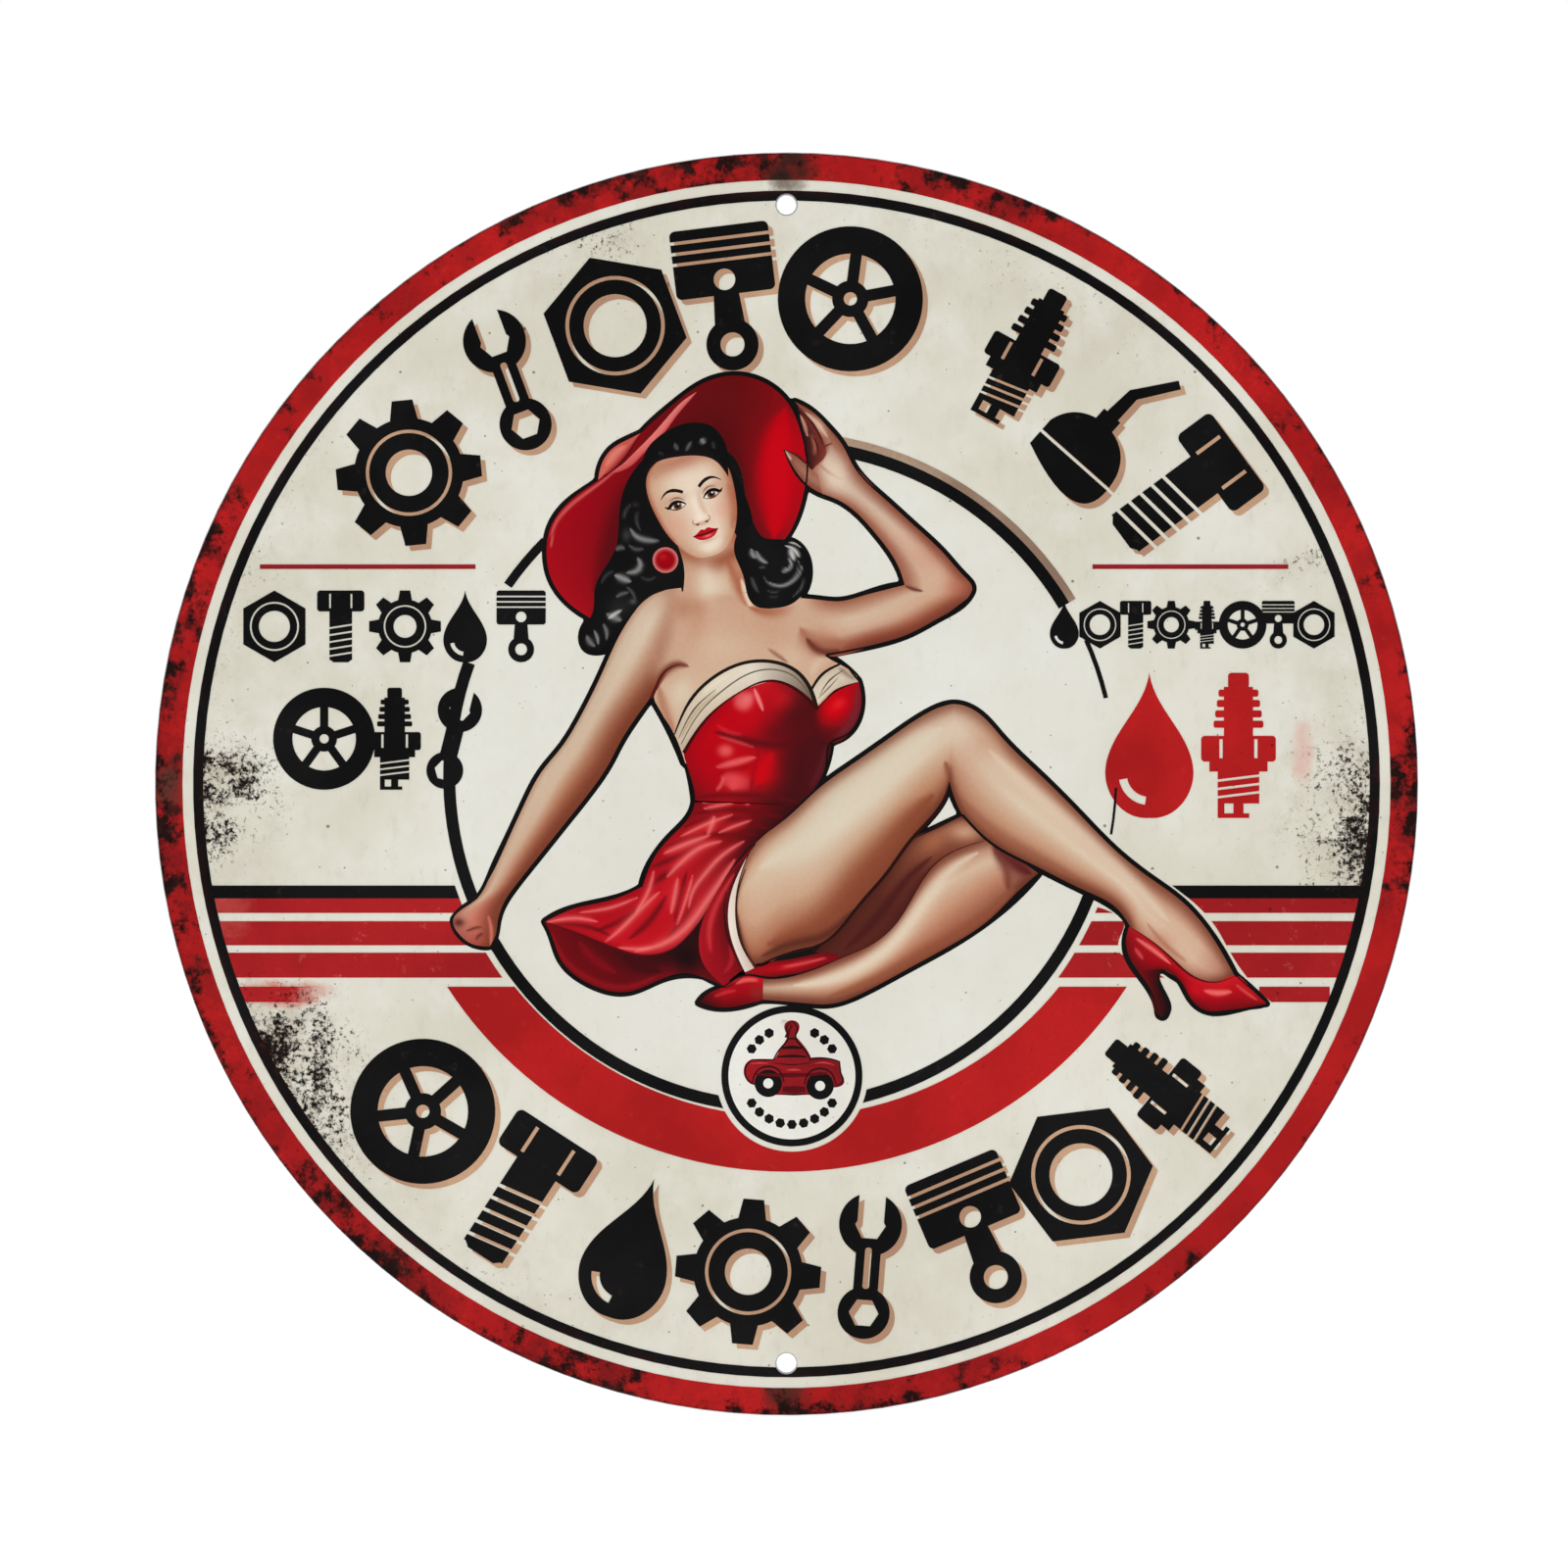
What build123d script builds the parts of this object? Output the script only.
from build123d import *
import os
from math import cos, radians, sin

# A round printed metal wall sign: one flat disc, its ground enamel and one ink film per printed shape.
# The back face lies on Y = 0, the printed face looks along -Y, +Z is up and the disc's centre is X = Z = 0.
# All sizes are in millimetres.

# ---- Driving dimensions ----
SIGN_DIAMETER = 304.8
METAL_THICKNESS = 1.0
ENAMEL_THICKNESS = 0.10
INK_THICKNESS = 0.10
KEY_FILM_THICKNESS = 0.05
FACET_LENGTH = 0.8
SMALLEST_PATCH = 0.05
SMALLEST_FIGURE_PATCH = 3.0
SMALLEST_GAP_LENGTH = 6.0
EDGE_ROUND = 0.25
HOLE_DIAMETER = 4.76
HOLE_INSET = 12.7
COATING_SETBACK = 0.3

SIGN_R = SIGN_DIAMETER / 2
HOLE_CENTRE_R = SIGN_R - HOLE_INSET

# Rings, worked in from the rim
BORDER_WIDTH = 6.7
RING_GAP = 2.6
OUTER_RING_WIDTH = 2.4

# Inner circle round the figure, drawn in separate stretches: (start angle, end angle, width)
CIRCLE_CENTRE = (-1.5, 1.9)
CIRCLE_R = 81.3
CIRCLE_WIDTH = 2.9
CIRCLE_STRETCHES = [
    (31, 82, CIRCLE_WIDTH),
    (135, 145, 2.2),
    (160, 202, CIRCLE_WIDTH),
    (207.5, 285.5, CIRCLE_WIDTH),
    (284, 341, CIRCLE_WIDTH),
    (13.5, 24, 1.1),
    (350, 358, 0.6),
]
CIRCLE_SHADOW_WIDTH = 1.8
CIRCLE_SHADOW_ANGLES = (31, 80)

# Red arc under the inner circle
ARC_CENTRE = (0.1, 4.1)
ARC_INNER_R = 84.4
ARC_OUTER_R = 97.6
ARC_TOP_Z = -48.9

# Horizontal bars: (low Z, high Z)
BLACK_BAR = (-27.6, -24.5)
RED_STRIPES = [(-31.1, -27.6), (-38.9, -33.1), (-46.7, -40.7)]
LAST_STRIPE = (-52.6, -48.9)
BAR_INNER_X = 60
LEFT_LAST_STRIPE_END = -113
RIGHT_LAST_STRIPE = (114, 131)
RIGHT_BLACK_BAR_START = 93
CIRCLE_MARGIN = 1.5
RULE_Z = 52.4
RULE_THICKNESS = 1.1
LEFT_RULE = (-127, -75)
RIGHT_RULE = (73.8, 121)

# Pictogram lines: where the printed signs stand
PICTOGRAM_HEIGHT = 35.0
ARC_LINE_R = 118.0
TOP_LINE = [(140.5, "gear"), (124.5, "spanner"), (110.5, "nut"), (97, "piston"), (82.5, "wheel"),
            (61, "plug"), (48.5, "oiler"), (36.5, "bolt")]
BOTTOM_LINE = [(222, "wheel"), (237, "bolt"), (251.5, "drop"), (265.5, "gear"), (279.5, "spanner"),
               (293, "piston"), (307, "nut"), (321, "plug")]
SHADOW_SHIFT = (1.2, -1.2)
LEFT_UPPER_LINE = [(-123.5, "nut"), (-107.5, "bolt"), (-92.0, "gear"), (-77.5, "drop"), (-64.0, "piston")]
LEFT_UPPER_Z, LEFT_UPPER_HEIGHT = 38.0, 17.3
LEFT_LOWER_LINE = [(-111.5, "wheel"), (-94.5, "plug"), (-80.5, "spanner")]
LEFT_LOWER_Z, LEFT_LOWER_HEIGHT = 10.9, 24.6
RIGHT_LINE = ["drop", "nut", "bolt", "gear", "plug", "wheel", "piston", "nut"]
RIGHT_LINE_START, RIGHT_LINE_PITCH = 67.0, 8.6
RIGHT_LINE_Z, RIGHT_LINE_HEIGHT = 38.4, 11.5
RED_PAIR = [(87.5, "drop"), (109.0, "plug")]
RED_PAIR_Z, RED_PAIR_HEIGHT = 9.3, 35.0

# Badge at the foot of the inner circle
BADGE_CENTRE = (1.3, -70.4)
BADGE_R = 17.0
BADGE_RING_WIDTH = 1.7
BADGE_MARGIN = 1.3
BADGE_WHEEL_PLACES = [(6.8, -2.4), (-5.7, -1.8)]
BADGE_WHEEL_R, BADGE_HUB_R = 3.3, 1.2
BADGE_STUD_R, BADGE_STUD_CIRCLE_R = 1.25, 11.7
BADGE_STUD_ANGLES = (28, 42, 56, -28, -42, -56, 124, 138, 152, 166, 180, 194, 208, 222, 236)

# Figure
KEY_LINE_WIDTH = 0.9
FACE_CENTRE = (-21.5, 67.8)
FACE_HALF_WIDTH, FACE_HALF_HEIGHT = 10.6, 13.4
FACE_TILT = 19
EARRING_CENTRE = (-29.2, 54.0)
EARRING_R = 3.1


# ---- Outlines: each inner list is one smooth curve, and the curves meet at corners ----
HAT_BRIM = [[(-47.3, 39.9), (-53.1, 43.9), (-57.0, 49.6), (-58.1, 55.5), (-57.1, 62.0), (-52.8, 68.0),
             (-45.5, 73.2), (-39.7, 78.8), (-35.0, 84.8), (-27.2, 91.9), (-20.0, 96.9), (-12.5, 98.7),
             (-5.0, 96.8), (0.5, 92.0), (3.6, 85.0), (5.0, 77.5), (4.2, 69.5), (1.6, 62.0),
             (-3.0, 56.0), (-20.0, 47.0)]]
HAT_CROWN = [[(-45.5, 73.2), (-45.1, 76.2), (-42.4, 80.8), (-38.5, 83.2), (-35.0, 84.8)],
             [(-35.0, 84.8), (-38.0, 77.0)]]
HAIR_BACK = [[(-33.5, 79.5), (-38.2, 73.4), (-40.3, 65.5), (-41.2, 57.0), (-43.9, 52.0), (-46.2, 47.2),
              (-46.9, 41.0), (-49.2, 36.8), (-48.4, 32.6), (-45.0, 31.9), (-38.0, 36.0), (-27.0, 42.0),
              (-14.0, 50.0), (-9.5, 62.0), (-10.5, 71.5), (-13.5, 75.5), (-15.2, 80.0), (-16.4, 84.8),
              (-20.9, 86.8), (-26.0, 86.0), (-30.5, 82.6)]]
HAIR_CURLS = [[(-8.9, 44.4), (-10.0, 48.4), (-11.2, 52.2), (-12.6, 56.0), (-10.6, 61.8), (-8.0, 63.0),
               (-5.8, 59.6), (0.6, 58.8), (4.2, 56.2), (5.5, 51.7), (4.4, 46.6), (1.2, 43.4),
               (-4.0, 42.3), (-7.2, 42.8)]]
FRINGE = [[(-33.8, 76.2), (-29.0, 78.2), (-23.0, 79.4), (-17.4, 78.8), (-14.2, 75.6)],
          [(-14.2, 75.6), (-14.9, 81.0), (-17.6, 86.0), (-24.0, 86.6), (-30.0, 83.4)]]
NECK_AND_CHEST = [
    [(-25.6, 57.0), (-24.6, 51.0), (-24.9, 46.5)],
    [(-24.9, 46.5), (-29.5, 46.7)],
    [(-29.5, 46.7), (-24.6, 38.0), (-26.0, 28.3)],
    [(-26.0, 28.3), (-30.0, 26.0), (-32.6, 20.7)],
    [(-32.6, 20.7), (-29.0, 14.4), (-24.8, 5.0)],
    [(-24.8, 5.0), (6.0, 14.0)],
    [(6.0, 14.0), (17.5, 24.8)],
    [(17.5, 24.8), (14.4, 28.0), (9.5, 31.1)],
    [(9.5, 31.1), (5.3, 34.6), (3.0, 44.9)],
    [(3.0, 44.9), (-4.0, 45.5), (-8.9, 44.4)],
    [(-8.9, 44.4), (-10.0, 48.4), (-11.2, 52.2), (-13.0, 58.0)],
]
RESTING_ARM = [
    [(-29.5, 46.7), (-33.5, 45.0), (-37.0, 41.3), (-40.4, 36.0), (-44.6, 27.0), (-50.0, 16.2),
     (-54.4, 9.1), (-59.3, 3.0), (-63.2, -4.2), (-67.1, -12.6), (-71.0, -21.0), (-74.8, -27.8),
     (-77.6, -29.8), (-80.4, -32.8)],
    [(-80.4, -32.8), (-78.6, -36.6), (-75.5, -38.7), (-71.6, -39.2)],
    [(-71.6, -39.2), (-70.2, -36.5), (-69.6, -33.0), (-68.3, -29.3), (-65.5, -25.0), (-60.2, -18.3),
     (-53.0, -9.3), (-46.4, -0.9), (-42.6, 4.8), (-40.1, 9.6), (-36.5, 15.3), (-32.6, 20.7)],
    [(-32.6, 20.7), (-30.0, 26.0), (-26.0, 28.3)],
    [(-26.0, 28.3), (-24.6, 38.0)],
]
RAISED_ARM = [
    [(3.0, 44.9), (8.0, 44.6), (12.9, 44.3), (18.0, 45.5), (28.3, 48.0)],
    [(28.3, 48.0), (27.2, 51.4), (21.4, 60.2), (15.5, 66.3), (11.5, 68.7), (7.8, 70.1), (4.5, 72.3),
     (1.6, 75.9), (-0.6, 80.6)],
    [(-0.6, 80.6), (1.8, 79.6), (3.8, 77.8), (6.2, 75.6)],
    [(6.2, 75.6), (9.3, 79.0), (9.0, 82.6), (5.5, 88.2), (1.9, 92.3)],
    [(1.9, 92.3), (6.3, 89.9), (10.4, 85.9), (13.7, 81.8), (16.3, 76.8), (23.6, 69.1), (30.9, 62.5),
     (38.2, 55.6), (43.0, 50.2), (45.0, 47.2), (44.2, 45.2), (37.1, 40.0), (30.0, 36.2), (20.2, 33.2),
     (9.5, 31.1)],
    [(9.5, 31.1), (5.3, 34.6)],
]
HAND_SHADOW = [[(6.2, 75.6), (9.3, 79.0), (9.0, 82.6), (5.5, 88.2), (2.6, 91.4)],
               [(2.6, 91.4), (4.2, 84.0), (4.5, 79.0)]]
BODICE_TRIM = [
    [(-26.7, 12.6), (-23.2, 20.1), (-17.6, 25.7), (-10.6, 29.1), (-3.6, 29.5), (2.5, 27.1), (5.9, 22.6)],
    [(5.9, 22.6), (9.0, 27.1), (13.2, 29.0)],
    [(13.2, 29.0), (15.5, 26.7), (17.5, 24.6)],
    [(17.5, 24.6), (11.8, 22.4), (7.5, 18.0)],
    [(7.5, 18.0), (2.9, 22.4), (-3.6, 24.9), (-11.0, 22.3), (-19.9, 15.0), (-24.8, 7.5)],
]
BODICE = [
    [(-24.8, 7.5), (-19.9, 15.0), (-11.0, 22.3), (-3.6, 24.9), (2.9, 22.4), (7.5, 18.0)],
    [(7.5, 18.0), (11.8, 22.4), (17.5, 24.6)],
    [(17.5, 24.6), (18.2, 20.5), (17.0, 14.8), (10.7, 10.0)],
    [(10.7, 10.0), (9.6, 4.6), (6.8, -1.2), (3.4, -5.1)],
    [(3.4, -5.1), (-9.0, -3.2), (-22.3, -4.0)],
    [(-22.3, -4.0), (-22.9, 0.2)],
]
SKIRT = [
    [(-22.3, -4.0), (-23.4, -7.4), (-27.8, -12.3), (-32.3, -18.0), (-35.0, -24.8)],
    [(-35.0, -24.8), (-42.8, -27.9), (-51.8, -30.0), (-58.4, -33.2)],
    [(-58.4, -33.2), (-49.9, -36.2), (-41.9, -39.5), (-34.0, -41.4), (-27.0, -39.5), (-20.5, -32.4),
     (-13.0, -19.9), (-6.2, -12.6)],
    [(-6.2, -12.6), (0.1, -7.9), (3.4, -5.1)],
    [(3.4, -5.1), (-9.0, -3.2)],
]
SKIRT_LINING = [
    [(-58.4, -33.2), (-56.6, -37.0), (-54.6, -42.4), (-48.5, -47.9), (-38.2, -50.3), (-29.3, -46.9),
     (-22.8, -46.0), (-14.8, -49.0)],
    [(-14.8, -49.0), (-17.6, -42.0), (-18.0, -32.0)],
    [(-18.0, -32.0), (-26.0, -37.0), (-36.0, -38.4), (-48.0, -35.0)],
]
SKIRT_PANEL = [
    [(-7.0, -14.0), (-12.8, -20.2), (-17.6, -27.4), (-20.8, -35.0), (-20.2, -43.0), (-14.8, -49.0)],
    [(-14.8, -49.0), (-9.8, -45.6)],
    [(-9.8, -45.6), (-13.0, -38.0), (-13.8, -30.0), (-12.0, -22.0)],
]
SKIRT_TAIL = [[(-14.0, -47.6), (-9.0, -44.0), (0.0, -42.4), (6.0, -41.2), (11.0, -40.9), (13.2, -41.8)],
              [(13.2, -41.8), (6.0, -45.0), (-5.6, -46.9)]]
GARTER_BAND = [
    [(-10.3, -18.6), (-13.9, -26.5), (-14.3, -31.6), (-12.8, -39.0), (-10.0, -45.2)],
    [(-10.0, -45.2), (-7.4, -43.9)],
    [(-7.4, -43.9), (-10.6, -39.0), (-12.5, -30.0), (-11.8, -22.6)],
]
FRONT_LEG = [
    [(-5.6, -12.2), (0.1, -7.9), (7.6, -0.9), (16.0, 5.2), (25.3, 11.7), (34.0, 17.4), (40.6, 19.5),
     (46.0, 17.6), (52.0, 11.5), (60.4, 3.2), (70.0, -6.3), (79.6, -16.0), (88.2, -22.8),
     (95.5, -28.2), (101.8, -35.3), (108.4, -46.4)],
    [(108.4, -46.4), (100.0, -49.0), (90.0, -44.0), (82.4, -36.0)],
    [(82.4, -36.0), (82.6, -34.4), (79.7, -30.4), (71.7, -25.9), (59.8, -20.0), (49.0, -14.0),
     (42.4, -7.4), (39.3, 0.5)],
    [(39.3, 0.5), (38.2, -3.2), (30.1, -13.4), (24.4, -21.2), (17.2, -29.6), (8.6, -38.4),
     (0.0, -40.8), (-7.6, -43.9)],
    [(-7.6, -43.9), (-10.6, -38.0), (-12.2, -29.0), (-10.1, -19.4)],
]
BACK_THIGH = [
    [(30.1, -13.4), (36.4, -10.4), (42.4, -7.6)],
    [(42.4, -7.6), (49.0, -14.0)],
    [(49.0, -14.0), (36.4, -20.8), (26.2, -35.0), (14.0, -42.5)],
    [(14.0, -42.5), (7.0, -40.5)],
]
BACK_CALF = [
    [(49.0, -13.4), (43.6, -14.9), (36.4, -18.8), (31.0, -26.0), (26.2, -33.8), (19.6, -39.2),
     (12.4, -42.4), (4.0, -45.5), (-5.6, -47.0)],
    [(-5.6, -47.0), (-5.7, -52.2)],
    [(-5.7, -52.2), (5.2, -53.1), (10.0, -53.3), (18.4, -50.6), (28.0, -45.5), (40.0, -38.9),
     (49.0, -32.9), (60.9, -21.6)],
    [(60.9, -21.6), (56.0, -18.0)],
]
FRONT_SHOE = [
    [(82.6, -34.4), (86.5, -36.8), (93.3, -42.5), (98.0, -46.4), (103.5, -47.8), (108.4, -46.2)],
    [(108.4, -46.2), (112.0, -49.3), (115.8, -53.0)],
    [(115.8, -53.0), (108.0, -54.5), (100.6, -54.6), (97.8, -52.5), (94.8, -47.4), (90.4, -44.6)],
    [(90.4, -44.6), (89.4, -45.4), (90.4, -50.0), (91.8, -54.8)],
    [(91.8, -54.8), (90.7, -56.3), (89.6, -55.6)],
    [(89.6, -55.6), (87.8, -50.0), (84.8, -45.8), (82.0, -41.0), (81.7, -37.6)],
]
BACK_SHOE = [
    [(-21.3, -52.8), (-18.3, -50.1), (-14.6, -48.5), (-11.5, -46.5), (-5.6, -46.6)],
    [(-5.6, -46.6), (-6.5, -49.0), (-5.7, -52.0)],
    [(-5.7, -52.0), (-10.0, -53.4), (-16.0, -54.1)],
]
BADGE_CAR = [
    [(-9.7, 4.0), (-2.6, 4.0)], [(-2.6, 4.0), (2.6, 4.0)], [(2.6, 4.0), (8.6, 4.4), (11.6, 3.6)],
    [(11.6, 3.6), (12.0, 0.6)], [(12.0, 0.6), (12.6, -1.6), (9.0, -2.8)], [(9.0, -2.8), (6.0, -4.6)],
    [(6.0, -4.6), (-5.0, -4.6)], [(-5.0, -4.6), (-9.0, -2.2)], [(-9.0, -2.2), (-11.2, -0.6), (-11.4, 2.4)],
]
SHIN_ROOM = [
    [(60, -20), (79.6, -13.6), (88.2, -20.4), (92.6, -24.2), (98.0, -28.4), (103.6, -34.6),
     (107.6, -41.6), (110.6, -46.0), (118.0, -53.4)],
    [(118.0, -53.4), (112, -58)],
    [(112, -58), (80.6, -41.0)],
    [(80.6, -41.0), (80.4, -37.0), (81.4, -33.6), (78.5, -31.0), (60, -24)],
]
BADGE_TOWER = [[(-4.6, 3.4), (-0.9, 9.6)], [(-0.9, 9.6), (-0.4, 13.4), (0.4, 13.4), (0.9, 9.6)],
               [(0.9, 9.6), (4.6, 3.4)]]


def smooth_outline(runs):
    """Closed face. Each run of points is one smooth curve, or a line if it has two points.
    A run that stops short of the next run's start is carried on to it."""
    edges = []
    if len(runs) == 1:
        return make_face(Spline(*runs[0], periodic=True))
    for run, following in zip(runs, runs[1:] + runs[:1]):
        points = list(run) if run[-1] == following[0] else list(run) + [following[0]]
        edges.append(Line(*points) if len(points) == 2 else Spline(*points))
    return make_face(edges)


def ring(outer_r, width, centre=(0, 0)):
    return Pos(*centre) * (Circle(outer_r) - Circle(outer_r - width))


def ring_stretch(centre, outer_r, width, start, end):
    """Part of a ring between two angles, in degrees from +X and less than a half turn apart."""
    reach = 2 * outer_r
    corners = [(reach * cos(radians(angle)), reach * sin(radians(angle)))
               for angle in (start, (start + end) / 2, end)]
    wedge = Polygon((0, 0), *corners, align=None)
    return Pos(*centre) * (ring(outer_r, width) & wedge)


def box_between(x0, x1, z0, z1):
    return Pos((x0 + x1) / 2, (z0 + z1) / 2) * Rectangle(x1 - x0, z1 - z0)


def faceted(wire):
    """Face inside a closed wire, its outline redrawn in short straight facets."""
    count = int(wire.length / FACET_LENGTH)
    return make_face(Polyline(*[wire @ (step / count) for step in range(count)], close=True))


# ---- Pictograms, each drawn 35 mm tall about its own centre ----
def nut():
    return RegularPolygon(17.5, 6, rotation=30) - Circle(7.6) - ring(12.0, 0.9)


def gear():
    tooth = Polygon((-3.6, 11.5), (3.6, 11.5), (2.5, 17.5), (-2.5, 17.5), align=None)
    teeth = [Rot(0, 0, 45 * step) * tooth for step in range(8)]
    return Circle(13.2) + teeth - Circle(5.6) - ring(10.4, 0.8)


def wheel():
    spokes = [Rot(0, 0, 72 * step) * Pos(0, 7.5) * Rectangle(2.8, 8.0) for step in range(5)]
    return ring(17.5, 6.6) + Circle(4.4) + spokes - Circle(1.6)


def drop():
    body = smooth_outline([
        [(0, 17.5), (-2.6, 10.4), (-9.4, -1.0), (-10.6, -7.4), (-7.4, -14.6), (0, -17.5)],
        [(0, -17.5), (7.4, -14.6), (10.6, -7.4), (9.4, -1.0), (2.6, 10.4)],
    ])
    glint = ring_stretch((0, -7.0), 7.4, 2.0, 190, 262)
    return body - glint


def bolt():
    head = Pos(0, 12.4) * RectangleRounded(23, 10.2, 1.6)
    shank = Pos(0, -4.4) * Rectangle(11, 24)
    tip = Polygon((-5.5, -16.0), (5.5, -16.0), (3.6, -17.5), (-3.6, -17.5), align=None)
    threads = [Pos(0, -13.6 + 3.4 * step) * Rot(0, 0, 9) * Rectangle(13, 0.9) for step in range(5)]
    facets = [Pos(side * 5.2, 12.4) * Rectangle(0.9, 7.0) for side in (-1, 1)]
    return head + shank + tip - threads - facets


def piston():
    crown = Pos(0, 9.2) * RectangleRounded(24, 16.6, 1.4)
    grooves = [Pos(0, 14.6 - 2.6 * step) * Rectangle(24.5, 0.8) for step in range(3)]
    pin = Pos(0, 4.6) * Circle(2.6)
    rod = Polygon((-3.0, 2.0), (3.0, 2.0), (3.8, -8.0), (-3.8, -8.0), align=None)
    big_end = Pos(0, -11.2) * Circle(6.3)
    bore = Pos(0, -11.2) * Circle(2.9)
    return crown - grooves + rod + big_end - pin - bore


def plug():
    cap = Pos(0, 15.6) * RectangleRounded(5.0, 3.8, 0.8)
    ribs = [Pos(0, 12.6 - 2.5 * step) * RectangleRounded(9.6 + 0.8 * step, 1.7, 0.5) for step in range(4)]
    insulator = Pos(0, 7.6) * Rectangle(7.0, 13.0)
    hexagon = Pos(0, -0.8) * RectangleRounded(18.0, 6.2, 0.9)
    collar = Pos(0, -5.0) * Rectangle(14.0, 2.6)
    thread = Pos(0, -10.0) * Rectangle(10.0, 8.0)
    cuts = [Pos(0, -7.9 - 2.0 * step) * Rot(0, 0, 7) * Rectangle(11.5, 0.6) for step in range(3)]
    centre_tip = Pos(0, -15.0) * Rectangle(2.4, 3.0)
    strap = Polygon((-5.0, -13.8), (-3.4, -13.8), (-3.4, -16.4), (2.6, -16.4), (2.6, -17.5), (-5.0, -17.5),
                    align=None)
    facets = [Pos(side * 4.2, -0.8) * Rectangle(0.8, 4.6) for side in (-1, 1)]
    return cap + ribs + insulator + hexagon + collar + thread + centre_tip + strap - cuts - facets


def spanner():
    shaft = Rectangle(6.0, 24.0)
    head = Pos(0, 10.2) * Circle(7.6)
    jaw = Pos(0, 14.4) * Rectangle(6.4, 9.2) + Pos(0, 10.0) * RegularPolygon(3.7, 6)
    eye = Pos(0, -11.2) * Circle(6.3) - Pos(0, -11.2) * RegularPolygon(3.6, 6)
    slot = Pos(0, -0.4) * RectangleRounded(1.6, 10.0, 0.7)
    return Rot(0, 0, -14) * (shaft + head - jaw - Pos(0, -11.2) * Circle(4.0) + eye - slot)


def oiler():
    can = smooth_outline([
        [(-10.5, -17.5), (-10.5, -10.0)],
        [(-10.5, -10.0), (-8.0, -5.4), (-2.6, -2.4)],
        [(-2.6, -2.4), (-2.6, 0.6)],
        [(-2.6, 0.6), (2.6, 0.6)],
        [(2.6, 0.6), (2.6, -2.4)],
        [(2.6, -2.4), (8.0, -5.4), (10.5, -10.0)],
        [(10.5, -10.0), (10.5, -17.5)],
    ])
    spout = Polygon((-1.8, -1.0), (-0.9, 8.0), (6.4, 17.5), (8.2, 16.3), (1.9, 7.4), (1.8, -1.0), align=None)
    seam = Pos(0, -13.4) * Rectangle(22, 0.8)
    return can + spout - seam


PICTOGRAMS = {
    "nut": nut(), "gear": gear(), "wheel": wheel(), "drop": drop(), "bolt": bolt(),
    "piston": piston(), "plug": plug(), "spanner": spanner(), "oiler": oiler(),
}


def arc_line(entries, upright):
    """Pictograms round the sign's centre, with their heads outwards, or inwards along the bottom."""
    turn = -90 if upright else 90
    shapes = []
    for angle, name in entries:
        place = Pos(ARC_LINE_R * cos(radians(angle)), ARC_LINE_R * sin(radians(angle)))
        shapes.append(place * Rot(0, 0, angle + turn) * PICTOGRAMS[name])
    return Sketch() + shapes


def straight_line(entries, z, height):
    """Pictograms of one height side by side, each given by its centre's X and its name."""
    factor = height / PICTOGRAM_HEIGHT
    return Sketch() + [Pos(x, z) * scale(PICTOGRAMS[name], factor) for x, name in entries]


# ---- Printed shapes, from the topmost down; each one is knocked out of those below it ----
badge_place = Pos(*BADGE_CENTRE)
badge_wheels = Sketch() + [Pos(*place) * Circle(BADGE_WHEEL_R) for place in BADGE_WHEEL_PLACES]
badge_hubs = Sketch() + [Pos(*place) * Circle(BADGE_HUB_R) for place in BADGE_WHEEL_PLACES]
badge_studs = [Rot(0, 0, angle) * Pos(0, BADGE_STUD_CIRCLE_R) * RegularPolygon(BADGE_STUD_R, 6)
               for angle in BADGE_STUD_ANGLES]
badge_car = smooth_outline(BADGE_CAR) + smooth_outline(BADGE_TOWER)

figure_shapes = [
    ("figure_earring", Pos(*EARRING_CENTRE) * Circle(EARRING_R)),
    ("figure_fringe", smooth_outline(FRINGE)),
    ("figure_hair_curls", smooth_outline(HAIR_CURLS)),
    ("figure_face", Pos(*FACE_CENTRE) * Rot(0, 0, FACE_TILT) * Ellipse(FACE_HALF_WIDTH, FACE_HALF_HEIGHT)),
    ("figure_bodice_trim", smooth_outline(BODICE_TRIM)),
    ("figure_bodice", smooth_outline(BODICE)),
    ("figure_neck_and_chest", smooth_outline(NECK_AND_CHEST)),
    ("figure_resting_arm", smooth_outline(RESTING_ARM)),
    ("figure_raised_arm", smooth_outline(RAISED_ARM)),
    ("figure_hand_shadow", smooth_outline(HAND_SHADOW)),
    ("figure_hair_back", smooth_outline(HAIR_BACK)),
    ("figure_hat_brim", smooth_outline(HAT_BRIM)),
    ("figure_hat_crown", smooth_outline(HAT_CROWN)),
    ("figure_garter_band", smooth_outline(GARTER_BAND)),
    ("figure_front_shoe", smooth_outline(FRONT_SHOE)),
    ("figure_front_leg", smooth_outline(FRONT_LEG)),
    ("figure_skirt", smooth_outline(SKIRT)),
    ("figure_back_shoe", smooth_outline(BACK_SHOE)),
    ("figure_skirt_panel", smooth_outline(SKIRT_PANEL)),
    ("figure_skirt_lining", smooth_outline(SKIRT_LINING)),
    ("figure_back_calf", smooth_outline(BACK_CALF)),
    ("figure_skirt_tail", smooth_outline(SKIRT_TAIL)),
    ("figure_back_thigh", smooth_outline(BACK_THIGH)),
]

# The key film: black ink under the whole figure, wider all round, so that it shows as the figure's outline
key_shape = (Sketch() + [offset(shape, KEY_LINE_WIDTH) for _, shape in figure_shapes]).faces()[0]
key_film = faceted(key_shape.outer_wire())
for gap in key_shape.inner_wires():
    if gap.length > SMALLEST_GAP_LENGTH:
        key_film = key_film - faceted(gap)

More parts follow.
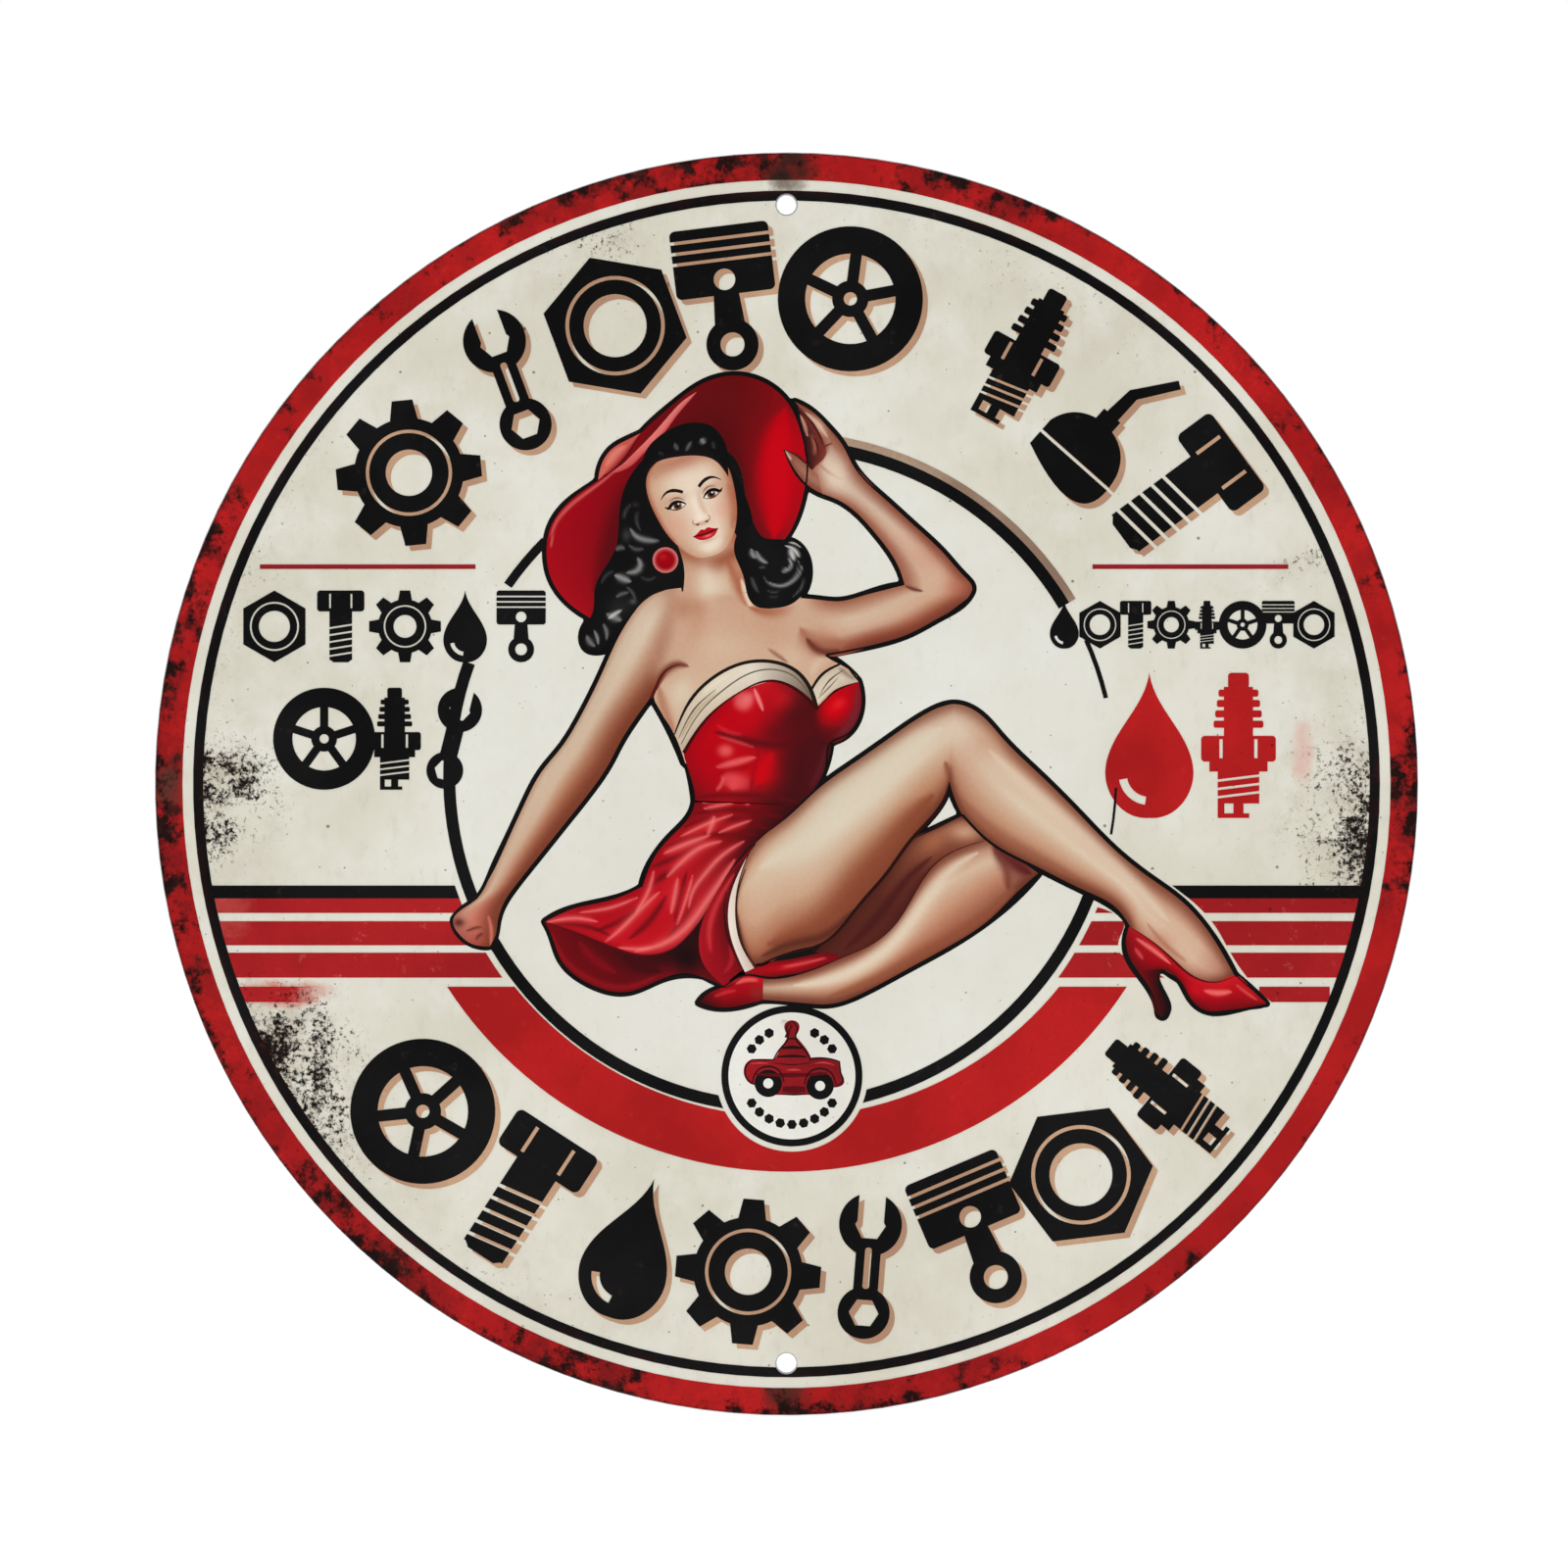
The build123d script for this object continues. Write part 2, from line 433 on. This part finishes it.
inner_circle = Sketch() + [ring_stretch(CIRCLE_CENTRE, CIRCLE_R, width, start, end)
                           for start, end, width in CIRCLE_STRETCHES]
circle_shadow = ring_stretch(CIRCLE_CENTRE, CIRCLE_R + CIRCLE_SHADOW_WIDTH, CIRCLE_SHADOW_WIDTH,
                             *CIRCLE_SHADOW_ANGLES)

border_inner_r = SIGN_R - BORDER_WIDTH
outer_ring_r = border_inner_r - RING_GAP
field_r = outer_ring_r - OUTER_RING_WIDTH
field = Circle(field_r)
circle_room = Pos(*CIRCLE_CENTRE) * Circle(CIRCLE_R + CIRCLE_MARGIN)
shin_room = smooth_outline(SHIN_ROOM)


def bar(x0, x1, heights):
    """Horizontal bar that stops at the outer black ring, short of the inner circle and of the shin."""
    return (box_between(x0, x1, *heights) & field) - circle_room - shin_room


left_bars = Sketch() + [bar(-SIGN_R, -BAR_INNER_X, heights) for heights in RED_STRIPES]
left_bars = left_bars + bar(-SIGN_R, LEFT_LAST_STRIPE_END, LAST_STRIPE)
right_bars = Sketch() + [bar(BAR_INNER_X, SIGN_R, heights) for heights in RED_STRIPES]
right_bars = right_bars + bar(*RIGHT_LAST_STRIPE, LAST_STRIPE)
black_bars = bar(-SIGN_R, -BAR_INNER_X, BLACK_BAR) + bar(RIGHT_BLACK_BAR_START, SIGN_R, BLACK_BAR)
rules = box_between(*LEFT_RULE, RULE_Z - RULE_THICKNESS / 2, RULE_Z + RULE_THICKNESS / 2)
rules = rules + box_between(*RIGHT_RULE, RULE_Z - RULE_THICKNESS / 2, RULE_Z + RULE_THICKNESS / 2)

red_arc = ring(ARC_OUTER_R, ARC_OUTER_R - ARC_INNER_R, ARC_CENTRE)
red_arc = red_arc & box_between(-SIGN_R, SIGN_R, -SIGN_R, ARC_TOP_Z)
red_arc = red_arc - badge_place * Circle(BADGE_R + BADGE_MARGIN)

top_pictograms = arc_line(TOP_LINE, upright=True)
bottom_pictograms = arc_line(BOTTOM_LINE, upright=False)
right_entries = [(RIGHT_LINE_START + RIGHT_LINE_PITCH * step, name) for step, name in enumerate(RIGHT_LINE)]

printed = [
    ("badge_studs", badge_place * (Sketch() + badge_studs)),
    ("badge_hubs", badge_place * badge_hubs),
    ("badge_wheels", badge_place * badge_wheels),
    ("badge_car", badge_place * badge_car),
    ("badge_ring", ring(BADGE_R, BADGE_RING_WIDTH, BADGE_CENTRE)),
    ("badge_ground", badge_place * Circle(BADGE_R - BADGE_RING_WIDTH)),
    *figure_shapes,
    ("figure_key_film", key_film),
    ("inner_circle", inner_circle - badge_place * Circle(BADGE_R + BADGE_MARGIN)),
    ("inner_circle_shadow", circle_shadow),
    ("top_pictograms", top_pictograms),
    ("top_pictogram_shadows", Pos(*SHADOW_SHIFT) * top_pictograms),
    ("bottom_pictograms", bottom_pictograms),
    ("bottom_pictogram_shadows", Pos(*SHADOW_SHIFT) * bottom_pictograms),
    ("left_upper_pictograms", straight_line(LEFT_UPPER_LINE, LEFT_UPPER_Z, LEFT_UPPER_HEIGHT)),
    ("left_lower_pictograms", straight_line(LEFT_LOWER_LINE, LEFT_LOWER_Z, LEFT_LOWER_HEIGHT)),
    ("right_pictograms", straight_line(right_entries, RIGHT_LINE_Z, RIGHT_LINE_HEIGHT)),
    ("red_pictograms", straight_line(RED_PAIR, RED_PAIR_Z, RED_PAIR_HEIGHT)),
    ("black_bars", black_bars),
    ("left_red_bars", left_bars),
    ("right_red_bars", right_bars),
    ("rules", rules),
    ("red_arc_band", red_arc),
    ("outer_black_ring", ring(outer_ring_r, OUTER_RING_WIDTH)),
    ("red_border_band", ring(SIGN_R - EDGE_ROUND, BORDER_WIDTH - EDGE_ROUND)),
]

# ---- Solids ----
screw_holes = Sketch() + [Pos(0, side * HOLE_CENTRE_R) * Circle(HOLE_DIAMETER / 2) for side in (-1, 1)]
coating_holes = Sketch() + [Pos(0, side * HOLE_CENTRE_R) * Circle(HOLE_DIAMETER / 2 + COATING_SETBACK)
                            for side in (-1, 1)]


def sheet(sketch, back_y, thickness):
    """A sketch drawn in the XZ plane, made a sheet that grows from back_y towards -Y."""
    return extrude(Plane.XZ.offset(-back_y) * sketch, amount=thickness, dir=(0, -1, 0))


def overlaps(a, b):
    box_a, box_b = a.bounding_box(), b.bounding_box()
    return (box_a.min.X < box_b.max.X and box_b.min.X < box_a.max.X
            and box_a.min.Y < box_b.max.Y and box_b.min.Y < box_a.max.Y)


blank = sheet(Circle(SIGN_R) - screw_holes, 0, METAL_THICKNESS)
rim_edges = blank.edges().filter_by(GeomType.CIRCLE).sort_by(lambda edge: edge.radius)[-2:]
blank = fillet(rim_edges, EDGE_ROUND)

enamel_y = -METAL_THICKNESS
ink_y = enamel_y - ENAMEL_THICKNESS
parts = [
    ("metal_blank", blank),
    ("ground_enamel", sheet(Circle(SIGN_R - EDGE_ROUND) - coating_holes, enamel_y, ENAMEL_THICKNESS)),
]

figure_names = [name for name, _ in figure_shapes]
figure_y = ink_y - KEY_FILM_THICKNESS
faces_above = list(coating_holes.faces())
for name, sketch in printed:
    shape = Sketch() + sketch.faces()
    if name != "figure_key_film":
        for face in faces_above:
            if overlaps(shape, face):
                shape = shape - face
        smallest = SMALLEST_FIGURE_PATCH if name in figure_names else SMALLEST_PATCH
        shape = Sketch() + [face for face in shape.faces() if face.area > smallest]
    if name in figure_names:
        solid = sheet(shape, figure_y, INK_THICKNESS - KEY_FILM_THICKNESS)
    elif name == "figure_key_film":
        solid = sheet(shape, ink_y, KEY_FILM_THICKNESS)
    else:
        solid = sheet(shape, ink_y, INK_THICKNESS)
    parts.append((name, solid))
    faces_above.extend(sketch.faces())

os.makedirs("parts", exist_ok=True)
for name, solid in parts:
    solid.label = name
    export_step(solid, f"parts/{name}.step")
    print(name, len(solid.solids()), round(solid.volume, 2))
